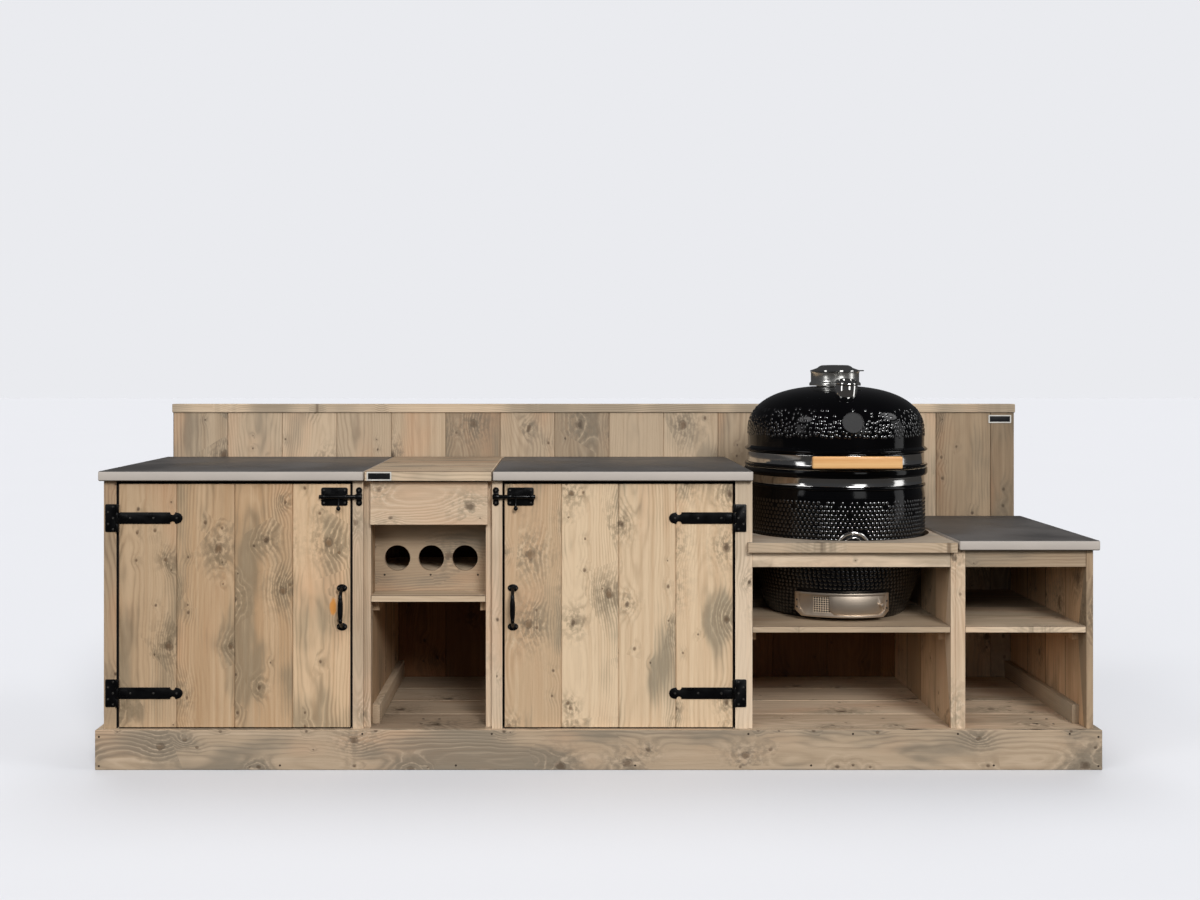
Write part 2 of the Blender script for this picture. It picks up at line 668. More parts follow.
def build_bottle_rack():
    """The panel with three bottle holes, and the board behind it that the bottles lie on."""
    low = BOTTLE_LEFT + BOTTLE_PANEL + CLEARANCE
    high = BOTTLE_RIGHT - BOTTLE_PANEL - CLEARANCE
    front = FRONT + RACK_RECESS
    panel = block("bottle_rack_panel", (low, front, BOTTLE_SHELF_TOP + CLEARANCE),
                  (high, front + BOARD, RACK_TOP))
    for i in (-1, 0, 1):
        x = (low + high) / 2 + i * RACK_HOLE_PITCH
        cut(panel, rod(f"rack_hole_{i + 1}", (x, front - 0.05, RACK_HOLE_HEIGHT),
                       (x, front + BOARD + 0.05, RACK_HOLE_HEIGHT), RACK_HOLE / 2, segments=24))
    start = front + BOARD + CLEARANCE
    board("bottle_support_board", (low, start, SUPPORT_TOP - SUPPORT_THICKNESS),
          (high, start + SUPPORT_DEPTH, SUPPORT_TOP))


def knuckle(name, x, y, low, high, radius, segments=14):
    return rod(name, (x, y, low), (x, y, high), radius, segments=segments)


def build_t_hinge(label, hinge_x, side, height, pivot):
    """A T-hinge: the plate with the pin on the post, the strap on the door. side points doorwards."""
    leaf_back = FACE - CLEARANCE
    leaf_front = leaf_back - HINGE_LEAF
    y = leaf_back - KNUCKLE_RADIUS
    width, tall = HINGE_PLATE
    half = tall / 2
    split = STRAP_WIDTH / 2 + HINGE_PLAY
    reach = KNUCKLE_RADIUS + HINGE_PLAY
    plate = [(0.0, -half), (0.0, -split), (reach, -split), (reach, split), (0.0, split), (0.0, half)]
    plate += arc((width - HINGE_CORNER, half - HINGE_CORNER), HINGE_CORNER, 90, 0, 3)
    plate += arc((width - HINGE_CORNER, HINGE_CORNER - half), HINGE_CORNER, 0, -90, 3)
    outline = [(hinge_x - side * a, height + b) for a, b in plate]
    post_leaf = prism(f"hinge_plate_{label}", outline, leaf_front, leaf_back, "Y", "black_iron")
    for end, (low, high) in enumerate(((-half, -split), (split, half))):
        join(post_leaf, knuckle(f"plate_knuckle_{label}_{end}", hinge_x, y, height + low,
                                height + high, KNUCKLE_RADIUS))
    join(post_leaf, knuckle(f"hinge_pin_{label}", hinge_x, y, height - half + PIN_END_GAP,
                            height + half - PIN_END_GAP, PIN_RADIUS, 10))
    w = STRAP_WIDTH / 2
    notch = STRAP_LENGTH - STRAP_NOTCH_FROM_TIP
    taper, narrowing = STRAP_TAPER
    top = [(0.0, w - narrowing), (taper, w)]
    top += arc((notch, w), STRAP_NOTCH, 180, 360, 6)
    tip = arc((STRAP_LENGTH - STRAP_TIP_RADIUS, 0.0), STRAP_TIP_RADIUS, 75, -75, 8)
    strap = top + tip + [(a, -b) for a, b in reversed(top)]
    outline = [(hinge_x + side * a, height + b) for a, b in strap]
    door_leaf = add_piece(f"hinge_strap_{label}", prism_mesh(outline, leaf_front, leaf_back, "Y"),
                          "black_iron", pivot)
    join(door_leaf, knuckle(f"strap_knuckle_{label}", hinge_x, y, height - w + narrowing,
                            height + w - narrowing, KNUCKLE_RADIUS))
    cut(door_leaf, knuckle(f"strap_bore_{label}", hinge_x, y, height - half, height + half,
                           PIN_RADIUS + HINGE_PLAY))


def build_door(name, low, high, pivot):
    """Upright boards nailed to two ledges and a brace on the back."""
    back = FACE + BOARD
    joints = joints_between(low, high, (high - low) / DOOR_BOARDS)
    outline = grooved_outline(low, high, FACE, back, joints)
    door = add_piece(name, prism_mesh(outline, DOOR_BOTTOM, DOOR_TOP, "Z"), "wood", pivot)
    sunk = back - BOARD / 4
    left, right = low + LEDGE_INSET, high - LEDGE_INSET
    lower = DOOR_BOTTOM + LEDGE_INSET
    upper = DOOR_TOP - LEDGE_INSET
    for part, z in (("lower", lower), ("upper", upper - LEDGE_WIDTH)):
        join(door, block(f"{name}_{part}_ledge", (left, sunk, z),
                         (right, back + DOOR_LEDGE, z + LEDGE_WIDTH), None))
    half = LEDGE_WIDTH / 2
    hinge_side = pivot[0] < (low + high) / 2
    start, end = (left, right) if hinge_side else (right, left)
    run = LEDGE_WIDTH if hinge_side else -LEDGE_WIDTH
    foot, head = lower + half, upper - half
    brace = [(start, foot), (start + run, foot), (end, head), (end - run, head)]
    join(door, prism(f"{name}_brace", brace, sunk, back + DOOR_LEDGE - 0.0005, "Y", None))
    return door


def build_barrel_bolt(label, edge, side, post_edge, pivot):
    """A barrel bolt near the door's edge, and its keeper on the post. side points postwards."""
    wood = FACE - CLEARANCE
    wide, tall = BOLT_PLATE
    near, far = edge - side * BOLT_FROM_EDGE, edge - side * (BOLT_FROM_EDGE + wide)
    middle = (near + far) / 2
    axis_y = wood - BOLT_LEAF - BOLT_PLAY - BOLT_ROD_RADIUS
    bore = BOLT_ROD_RADIUS + BOLT_PLAY
    outer = bore + BOLT_STAPLE_WALL
    across, up = wide / 2 - BOLT_CORNER, tall / 2 - BOLT_CORNER
    plate = []
    for sx, sz, start in ((1, 1, 90), (1, -1, 0), (-1, -1, -90), (-1, 1, -180)):
        plate += arc((middle + sx * across, BOLT_HEIGHT + sz * up), BOLT_CORNER, start, start - 90, 3)
    leaf = wood - BOLT_LEAF
    casing = add_piece(f"bolt_casing_{label}", prism_mesh(plate, leaf, wood, "Y"), "black_iron", pivot)
    arch = [(wood - BOLT_LEAF / 2, BOLT_HEIGHT - outer)]
    arch += arc((axis_y, BOLT_HEIGHT), outer, -90, -270, 10)
    arch += [(wood - BOLT_LEAF / 2, BOLT_HEIGHT + outer)]
    inset = side * (BOLT_STAPLE / 2 + BOLT_STAPLE_LAP)
    for end, x in (("near", near - inset), ("far", far + inset)):
        join(casing, prism(f"bolt_staple_{label}_{end}", arch, x - BOLT_STAPLE / 2,
                           x + BOLT_STAPLE / 2, "X", None))
    cut(casing, rod(f"bolt_bore_{label}", (middle - wide, axis_y, BOLT_HEIGHT),
                    (middle + wide, axis_y, BOLT_HEIGHT), bore, segments=20))
    mouth = post_edge + side * KEEPER_FROM_POST_EDGE
    tip = mouth - side * BOLT_PLAY
    arm = near - side * BOLT_ARM_FROM_END
    body = add_piece(f"bolt_rod_{label}", rod_mesh((far - side * BOLT_TAIL, axis_y, BOLT_HEIGHT),
                                                   (tip, axis_y, BOLT_HEIGHT), BOLT_ROD_RADIUS, 16),
                     "black_iron", pivot, smooth=True)
    knob_y = axis_y - BOLT_ROD_RADIUS
    join(body, rod(f"bolt_arm_{label}", (arm, axis_y, BOLT_HEIGHT),
                   (arm, knob_y, BOLT_HEIGHT - BOLT_ARM_DROP), BOLT_ARM_RADIUS, segments=10),
         ball(f"bolt_knob_{label}", (arm, knob_y, BOLT_HEIGHT - BOLT_ARM_DROP), BOLT_BALL_RADIUS))
    wide, tall = KEEPER
    centre = mouth + side * wide / 2
    lobe = tall / 2 - wide / 2
    shape = arc((centre, BOLT_HEIGHT + lobe), wide / 2, 180 + 25, -25, 10)
    shape += [(centre + KEEPER_WAIST / 2, BOLT_HEIGHT)]
    shape += arc((centre, BOLT_HEIGHT - lobe), wide / 2, 25, -205, 10)
    shape += [(centre - KEEPER_WAIST / 2, BOLT_HEIGHT)]
    keeper = prism(f"bolt_keeper_{label}", shape, leaf, wood, "Y", "black_iron")
    join(keeper, prism(f"keeper_bridge_{label}", arch, centre - wide / 2, centre + wide / 2, "X", None))
    cut(keeper, rod(f"keeper_bore_{label}", (centre - wide, axis_y, BOLT_HEIGHT),
                    (centre + wide, axis_y, BOLT_HEIGHT), bore, segments=20))


def build_handle(name, x, pivot):
    """A bow handle: a spindle grip on two curved necks that end in oval roses."""
    wood = FACE - CLEARANCE
    data = bmesh.new()
    steps, sides = 16, 8
    rings = []
    for i in range(steps + 1):
        t = i / steps
        along = -HANDLE_LENGTH / 2 + HANDLE_ROSE[1] / 2 + t * (HANDLE_LENGTH - HANDLE_ROSE[1])
        lift = min(1.0, math.sin(math.pi * t) * HANDLE_FLARE) ** HANDLE_CURVE if 0 < i < steps else 0.0
        centre = Vector((x, wood - HANDLE_SEAT - HANDLE_STAND * lift, HANDLE_HEIGHT + along))
        swell = math.exp(-((t - 0.5) / HANDLE_SWELL) ** 2)
        radius = HANDLE_NECK_RADIUS + (HANDLE_GRIP_RADIUS - HANDLE_NECK_RADIUS) * swell
        rings.append((centre, radius))
    loops = []
    for i, (centre, radius) in enumerate(rings):
        before = rings[max(0, i - 1)][0]
        after = rings[min(steps, i + 1)][0]
        way = (after - before).normalized()
        if i in (0, steps):
            way = Vector((0.0, -1.0 if i == 0 else 1.0, 0.0))
        side = Vector((1.0, 0.0, 0.0))
        up = way.cross(side).normalized()
        loops.append([data.verts.new(centre + radius * (math.cos(a) * side + math.sin(a) * up))
                      for a in np.linspace(0, 2 * math.pi, sides, endpoint=False)])
    for one, two in zip(loops, loops[1:]):
        for k in range(sides):
            data.faces.new((one[k], one[(k + 1) % sides], two[(k + 1) % sides], two[k]))
    data.faces.new(loops[0])
    data.faces.new(list(reversed(loops[-1])))
    handle = add_piece(name, data, "black_iron", pivot, smooth=True)
    wide, tall = HANDLE_ROSE
    for end in (-1, 1):
        z = HANDLE_HEIGHT + end * (HANDLE_LENGTH - tall) / 2
        rose = [(x + wide / 2 * math.cos(a), z + tall / 2 * math.sin(a))
                for a in np.linspace(0, 2 * math.pi, 12, endpoint=False)]
        join(handle, prism(f"{name}_rose_{end + 1}", rose, wood - HANDLE_ROSE_THICKNESS, wood, "Y",
                           None))
    return handle


def pivot_empty(name, place):
    """The axis that a moving body turns or slides on."""
    empty = bpy.data.objects.new(name, None)
    empty.location = place
    bpy.context.collection.objects.link(empty)
    return empty


def attach(pieces, empty):
    """Parent pieces to their axis without moving them."""
    for name in pieces:
        piece = bpy.data.objects[name]
        piece.parent = empty
        piece.location = piece.location - empty.location


def build_doors():
    """Both doors, each with its hinges, bolt and handle."""
    hinge_y = FACE - CLEARANCE - KNUCKLE_RADIUS
    opening_left = (LEFT + LEFT_POST, BOTTLE_LEFT - BOTTLE_LEFT_POST)
    opening_right = (BOTTLE_RIGHT + BOTTLE_RIGHT_POST, GRILL_LEFT - GRILL_LEFT_POST)
    for label, (low, high), side in (("left", opening_left, 1), ("right", opening_right, -1)):
        hinge_edge, latch_edge = (low, high) if side > 0 else (high, low)
        hinge_x = hinge_edge + side * DOOR_GAP / 2
        pivot = (hinge_x, hinge_y, DOOR_BOTTOM)
        door_hinge_edge = hinge_edge + side * DOOR_GAP
        door_latch_edge = latch_edge - side * DOOR_LATCH_GAP
        edges = sorted((door_hinge_edge, door_latch_edge))
        build_door(f"door_{label}", *edges, pivot)
        for place, height in zip(("lower", "upper"), HINGE_HEIGHTS):
            build_t_hinge(f"{label}_{place}", hinge_x, side, height, pivot)
        build_barrel_bolt(label, door_latch_edge, side, latch_edge, pivot)
        build_handle(f"handle_{label}", door_latch_edge - side * HANDLE_FROM_EDGE, pivot)
        empty = pivot_empty(f"door_{label}_axis", pivot)
        attach([f"door_{label}", f"hinge_strap_{label}_lower", f"hinge_strap_{label}_upper",
                f"bolt_casing_{label}", f"bolt_rod_{label}", f"handle_{label}"], empty)


def dome_radius(height):
    """Outer radius of the dome at a height over the shelf."""
    share = (height - DOME_BASE) / (DOME_TOP - DOME_BASE)
    return DOME_RADIUS * max(0.0, 1.0 - share ** DOME_SHAPE) ** (1.0 / DOME_SHAPE)


def body_radius(height):
    """Outer radius of the lower shell at a height over the shelf."""
    if height >= GRILL_BELLY:
        return GRILL_BODY_RADIUS
    share = (GRILL_BELLY - height) / GRILL_BELLY
    return GRILL_FOOT_RADIUS + (GRILL_BODY_RADIUS - GRILL_FOOT_RADIUS) * (1.0 - share ** 2)


def belly_line(offset=0.0):
    """The curved lower side of the body, top to bottom, moved out by an offset."""
    return [(body_radius(z) + offset, z) for z in np.linspace(GRILL_BELLY, FOOT_CHAMFER, 7)]


def band_profile(low, high):
    """The section of a pressed steel band."""
    inner = BAND_SEAT_RADIUS + CLEARANCE
    return [(BAND_RADIUS, high - 0.001), (BAND_RADIUS, low + 0.001), (BAND_RADIUS - 0.001, low),
            (inner, low), (inner, high), (BAND_RADIUS - 0.001, high)]


def bead(height, radius, base):
    """A rounded bead that stands out of the shell, top to bottom."""
    half = BEAD_HEIGHT / 2
    return [(base, height + half), (radius, height + half * 0.4), (radius, height - half * 0.4),
            (base, height - half)]


def build_kamado(centre):
    """The ceramic grill: two shells, their steel bands and hinge, and what they hold."""
    low, high = LOWER_BAND
    outer = [(GRILL_RIM_RADIUS - RIM_ROUND, GRILL_RIM), (GRILL_RIM_RADIUS, GRILL_RIM - RIM_ROUND),
             (GRILL_RIM_RADIUS, high + NECK_RISE), (GRILL_RIM_RADIUS - RIM_ROUND, high + CLEARANCE),
             (BAND_SEAT_RADIUS, high + CLEARANCE), (BAND_SEAT_RADIUS, low - CLEARANCE)]
    outer += bead(low - CLEARANCE - BEAD_HEIGHT / 2, BEAD_RADIUS, BAND_SEAT_RADIUS)[1:]
    outer += [(GRILL_BODY_RADIUS, GRILL_SHOULDER)] + belly_line()
    outer += [(GRILL_FOOT_RADIUS - FOOT_CHAMFER, 0.0)]
    corner = GRILL_WALL / 2
    inner = [(0.0, 0.0), (0.0, GRILL_FLOOR), (GRILL_FOOT_RADIUS - GRILL_WALL - corner, GRILL_FLOOR)]
    inner += [(body_radius(z) - GRILL_WALL, z)
              for z in np.linspace(GRILL_FLOOR + corner, GRILL_BELLY, 4)]
    inner += [(GRILL_BODY_RADIUS - GRILL_WALL, GRILL_RIM)]
    base = turned("kamado_base", outer + inner, "glazed", centre)
    cut(base, ring_sector("draft_window", (GRILL_FOOT_RADIUS - 2 * GRILL_WALL, GRILL_BODY_RADIUS),
                          (DRAFT_BOTTOM + DRAFT_WINDOW_SILL, DRAFT_TOP - DRAFT_WINDOW_HEAD),
                          -DRAFT_TURN, DRAFT_HALF_ANGLE - DRAFT_WINDOW_SIDE, centre, None, 8))
    turned("lower_band", band_profile(low, high), "steel", centre)

    x, y, z = centre
    hinge = (x, y + HINGE_REACH, z + HINGE_RISE)
    low, high = UPPER_BAND
    joint = GRILL_RIM + GASKET_THICKNESS + 2 * CLEARANCE
    outer = [(CHIMNEY_HOLE, DOME_TOP - DOME_DISH)]
    outer += [(dome_radius(z), z) for z in
              DOME_BASE + (DOME_TOP - DOME_BASE) * np.sin(np.radians(np.linspace(80, 0, 9)))]
    bead_middle = high + CLEARANCE + BEAD_RISE + BEAD_HEIGHT / 2
    outer += [(DOME_RADIUS, bead_middle + BEAD_HEIGHT)]
    outer += bead(bead_middle, GRILL_RIM_RADIUS, BAND_SEAT_RADIUS)
    outer += [(BAND_SEAT_RADIUS, low - CLEARANCE), (GRILL_RIM_RADIUS - RIM_ROUND, low - CLEARANCE),
              (GRILL_RIM_RADIUS, low - RIM_ROUND), (GRILL_RIM_RADIUS, joint + RIM_ROUND),
              (GRILL_RIM_RADIUS - RIM_ROUND, joint)]
    inner = [(GRILL_BODY_RADIUS - GRILL_WALL, joint), (DOME_RADIUS - GRILL_WALL, DOME_BASE)]
    inner += [(dome_radius(z) - GRILL_WALL, z - DOME_DROP) for z in
              DOME_BASE + (DOME_TOP - DOME_BASE) * np.sin(np.radians(np.linspace(25, 76, 4)))]
    inner += [(CHIMNEY_HOLE, DOME_TOP - GRILL_WALL)]
    lid = turned("kamado_lid", outer + inner, "glazed", centre, origin=hinge)
    band = turned("upper_band", band_profile(low, high), "steel", centre, origin=hinge)
    build_lid_handle(band, centre, hinge)
    seat = GRILL_BODY_RADIUS - GRILL_WALL + GASKET_INSET
    turned("lid_gasket", [(seat + GASKET_WIDTH, joint - CLEARANCE), (seat + GASKET_WIDTH,
                                                                   GRILL_RIM + CLEARANCE),
                          (seat, GRILL_RIM + CLEARANCE), (seat, joint - CLEARANCE)], "felt", centre,
           origin=hinge)
    build_chimney(centre, hinge)
    build_gauge(lid, centre, hinge)
    build_lid_hinge(centre, hinge)
    build_draft_door(centre)
    build_fire_parts(centre)


def build_lid_handle(band, centre, hinge):
    """The bamboo slat on two steel brackets that stand out of the upper band."""
    x, y, z = centre
    level = z + sum(UPPER_BAND) / 2
    wide, deep, tall = HANDLE_SLAT
    front = y - HANDLE_REACH
    back = front + deep / 2 + CLEARANCE
    root = y - math.sqrt(BAND_RADIUS ** 2 - (HANDLE_SPREAD / 2) ** 2)
    half, sheet = BRACKET_WIDTH / 2, BRACKET_SHEET / 2
    for side in (-1, 1):
        at = x + side * HANDLE_SPREAD / 2
        join(band, block(f"handle_foot_{side + 1}", (at - half, back, level - BRACKET_FOOT / 2),
                         (at + half, back + BRACKET_SHEET, level + BRACKET_FOOT / 2), None),
             block(f"handle_arm_{side + 1}", (at - half, back + sheet, level - sheet),
                   (at + half, root + BRACKET_SHEET, level + sheet), None))
    bore = BAND_SEAT_RADIUS + CLEARANCE
    low, high = UPPER_BAND
    core = [(bore, high), (bore, low), (0.0, low), (0.0, high)]
    cut(band, add_piece("band_bore", turned_mesh(core, SEGMENTS, centre), None))
    slat = block("handle_grip", (x - wide / 2, front - deep / 2, level - tall / 2),
                 (x + wide / 2, front + deep / 2, level + tall / 2), "bamboo", hinge)
    bevel = ease_edges(slat, SLAT_ROUND).modifiers[-1]
    bevel.segments = 2


def build_chimney(centre, hinge):
    """The draft stack on the dome and the turning cap with vent holes."""
    base = DOME_TOP + CLEARANCE
    wall = CHIMNEY_RADIUS - CHIMNEY_WALL
    neck = CHIMNEY_HOLE - CLEARANCE
    flange = CHIMNEY_RADIUS + CHIMNEY_LIP
    profile = [(CHIMNEY_RADIUS, CHIMNEY_TOP), (CHIMNEY_RADIUS, base + CHIMNEY_FLANGE),
               (flange, base + CHIMNEY_FLANGE - CHIMNEY_LIP_SLOPE), (flange, base), (neck, base),
               (neck, base - CHIMNEY_NECK), (neck - CHIMNEY_WALL, base - CHIMNEY_NECK),
               (neck - CHIMNEY_WALL, base + CHIMNEY_WALL), (wall, base + CHIMNEY_WALL),
               (wall, CHIMNEY_TOP)]
    turned("chimney", profile, "steel", centre, 24, hinge)
    seat = CHIMNEY_TOP + CLEARANCE
    x, y, z = centre
    crown, crown_drop = CAP_CROWN
    shoulder, shoulder_drop = CAP_SHOULDER
    lip, lip_height = CAP_LIP
    plug = wall - VENT_PLAY
    profile = [(0.0, CAP_TOP), (crown, CAP_TOP - crown_drop), (shoulder, CAP_TOP - shoulder_drop),
               (CHIMNEY_RADIUS + lip, seat + lip_height), (CHIMNEY_RADIUS + lip, seat), (plug, seat),
               (plug, seat - CAP_PLUG), (plug - CAP_SHEET, seat - CAP_PLUG),
               (shoulder - CAP_SHEET, CAP_TOP - shoulder_drop - CAP_SHEET),
               (crown, CAP_TOP - crown_drop - CAP_SHEET), (0.0, CAP_TOP - CAP_SHEET)]
    cap = turned("vent_cap", profile, "steel", centre, 24, (x, y, z + CAP_TOP))
    for i in range(VENT_HOLES):
        angle = 2 * math.pi * i / VENT_HOLES
        at = (x + VENT_CIRCLE * math.cos(angle), y + VENT_CIRCLE * math.sin(angle))
        cut(cap, rod(f"vent_hole_{i}", (*at, z + CAP_TOP - CUTTER_REACH),
                     (*at, z + CAP_TOP + CUTTER_REACH), VENT_HOLE, segments=12))
    long, wide, thick = VENT_TAB
    start = x + CHIMNEY_RADIUS - VENT_TAB_LAP
    low = z + seat + lip_height / 4
    join(cap, block("vent_tab", (start, y - wide / 2, low), (start + long, y + wide / 2, low + thick),
                    None))


def build_gauge(lid, centre, hinge):
    """The thermometer: a steel drum on the dome with a stem through the shell."""
    x, y, z = centre
    tilt = math.radians(GAUGE_TILT)
    way = Vector((0.0, -math.sin(tilt), math.cos(tilt)))
    share = 1.0 - (GAUGE_FROM_AXIS / DOME_RADIUS) ** DOME_SHAPE
    seat_height = DOME_BASE + (DOME_TOP - DOME_BASE) * share ** (1.0 / DOME_SHAPE)
    seat = Vector((x, y - GAUGE_FROM_AXIS, z + seat_height))
    low = seat - way * GAUGE_SUNK
    high = low + way * GAUGE_LENGTH
    stem_end = low - way * GAUGE_STEM_LENGTH
    gauge = rod("thermometer", low, high, GAUGE_RADIUS, "steel", 28, hinge)
    join(gauge, rod("gauge_stem", stem_end, low + way * GAUGE_SUNK, GAUGE_STEM, segments=8))
    cut(gauge, rod("gauge_dial", high - way * GAUGE_BEZEL, high + way * CUTTER_REACH,
                   GAUGE_RADIUS - GAUGE_BEZEL, segments=28))
    cut(lid, rod("gauge_seat", low - way * CLEARANCE, high + way * CUTTER_REACH,
                 GAUGE_RADIUS + CLEARANCE, segments=28),
        rod("gauge_bore", stem_end - way * CUTTER_REACH, low + way * CUTTER_REACH,
            GAUGE_STEM + CLEARANCE, segments=8))


def hinge_saddle(name, half, angle, centre, low, high):
    """A flat plate behind a band whose front is hollowed to the band's curve."""
    x, y, z = centre
    back = y + BAND_RADIUS + CLEARANCE + 2 * HINGE_SHEET
    outline = arc((x, y), BAND_RADIUS + CLEARANCE, 90 - angle, 90 + angle, 6)
    outline += [(x - half, back), (x + half, back)]
    return prism_mesh(outline, z + low, z + high, "Z")


def build_lid_hinge(centre, hinge):
    """The rear hinge: a bracket on the lower band, an arm on the upper band, and a spring."""
    x, y, z = centre
    hx, hy, hz = hinge
    start = y + BAND_RADIUS + CLEARANCE + HINGE_SHEET
    ear = HINGE_EAR
    foot_reach, foot_rise = HINGE_EAR_FOOT
    half = SPRING_LENGTH / 2 + CLEARANCE
    low, high = LOWER_BAND[0] + HINGE_INSET, LOWER_BAND[1] - HINGE_INSET
    bracket = add_piece("hinge_bracket", hinge_saddle("bracket", half + ear, HINGE_PAD_ANGLE, centre,
                                                      low, high), "steel")
    for side in (-1, 1):
        at = x + side * (half + ear / 2)
        plate = [(start, z + low), (hy + foot_reach, z + low + foot_rise)]
        plate += arc((hy, hz), HINGE_EAR_RADIUS, -20, 200, 10)
        plate += [(start + HINGE_EAR_NECK, z + high + foot_rise), (start, z + high)]
        join(bracket, prism(f"bracket_ear_{side + 1}", plate, at - ear / 2, at + ear / 2, "X", None))
    join(bracket, rod("lid_hinge_pin", (x - half - 3 * ear, hy, hz), (x + half + 3 * ear, hy, hz),
                      HINGE_PIN_RADIUS, segments=14))
    outer = half + ear + HINGE_PLAY + CLEARANCE
    low, high = UPPER_BAND[0] + 2 * HINGE_INSET, UPPER_BAND[1] - 2 * HINGE_INSET
    arm = add_piece("hinge_arm", hinge_saddle("arm", outer + ear, HINGE_PAD_ANGLE + 1.0, centre,
                                              low, high), "steel", hinge)
    for side in (-1, 1):
        at = x + side * (outer + ear / 2)
        plate = [(start, z + low)]
        plate += arc((hy, hz), HINGE_EAR_RADIUS, -120, 120, 12)
        plate += [(start, z + high)]
        join(arm, prism(f"arm_ear_{side + 1}", plate, at - ear / 2, at + ear / 2, "X", None))
    cut(arm, rod("arm_bore", (x - 2 * outer, hy, hz), (x + 2 * outer, hy, hz),
                 HINGE_PIN_RADIUS + HINGE_PLAY, segments=14))
    build_spring(hinge)


def build_spring(hinge):
    """The torsion spring, one unbroken coil round the hinge pin."""
    count = SPRING_TURNS * SPRING_STEPS + 1
    radius = (HINGE_PIN_RADIUS + CLEARANCE + SPRING_WIRE) / math.cos(math.pi / SPRING_STEPS)
    turns = np.linspace(0.0, 2 * math.pi * SPRING_TURNS, count)
    rise = np.linspace(-SPRING_LENGTH / 2 + SPRING_WIRE * 1.3, SPRING_LENGTH / 2 - SPRING_WIRE * 1.3,
                       count)
    points = np.column_stack((rise, radius * np.cos(turns), radius * np.sin(turns)))
    pitch = (rise[-1] - rise[0]) / SPRING_TURNS
    print("least gap between the spring's turns, mm:", round((pitch - 2 * SPRING_WIRE) * 1000, 2))
    curve = bpy.data.curves.new("hinge_spring", "CURVE")
    curve.dimensions = "3D"
    curve.bevel_depth = SPRING_WIRE
    curve.bevel_resolution = 1
    curve.use_fill_caps = True
    spline = curve.splines.new("POLY")
    spline.points.add(count - 1)
    for point, (a, b, c) in zip(spline.points, points):
        point.co = (a, b, c, 1.0)
    spring = bpy.data.objects.new("hinge_spring", curve)
    spring.location = hinge
    curve.materials.append(finish_material("hinge_spring", "steel"))
    bpy.context.collection.objects.link(spring)


def ring_sector(name, radii, heights, middle, half, centre, finish, segments, origin=(0, 0, 0)):
    """Part of a ring round the grill, its middle and half angle in degrees from the front."""
    inner, outer = radii
    low, high = heights
    profile = [(outer, high), (outer, low), (inner, low), (inner, high)]
    data = turned_mesh(profile, segments, centre, 270 + middle - half, 2 * half)
    return add_piece(name, data, finish, origin, smooth=True)


def lower_corner(name, radius, low, angle, centre, turn=0.0):
    """What a chamfer takes off a ring's lower corner, seen from the front, then turned with it."""
    x, y, z = centre
    end = 1 if angle > -DRAFT_TURN else -1
    edge = x + radius * math.sin(math.radians(angle))
    spare = DRAFT_CHAMFER
    outline = [(edge + end * spare, z + low - spare), (edge + end * spare, z + low + DRAFT_CHAMFER + spare),
               (edge - end * (DRAFT_CHAMFER + spare), z + low - spare)]
    data = prism_mesh(outline, y - radius - 2 * CUTTER_REACH, y, "Y")
    bmesh.ops.rotate(data, verts=data.verts, cent=centre,
                     matrix=Matrix.Rotation(math.radians(turn), 3, "Z"))
    return add_piece(name, data, None)


def trim_lower_corners(piece, radius, low, half, centre):
    """Chamfer both lower corners of a ring that is as wide to either side of the door's middle."""
    for end in (-1, 1):
        cut(piece, lower_corner(f"{piece.name}_corner_{end + 1}", radius, low,
                                end * half - DRAFT_TURN, centre))


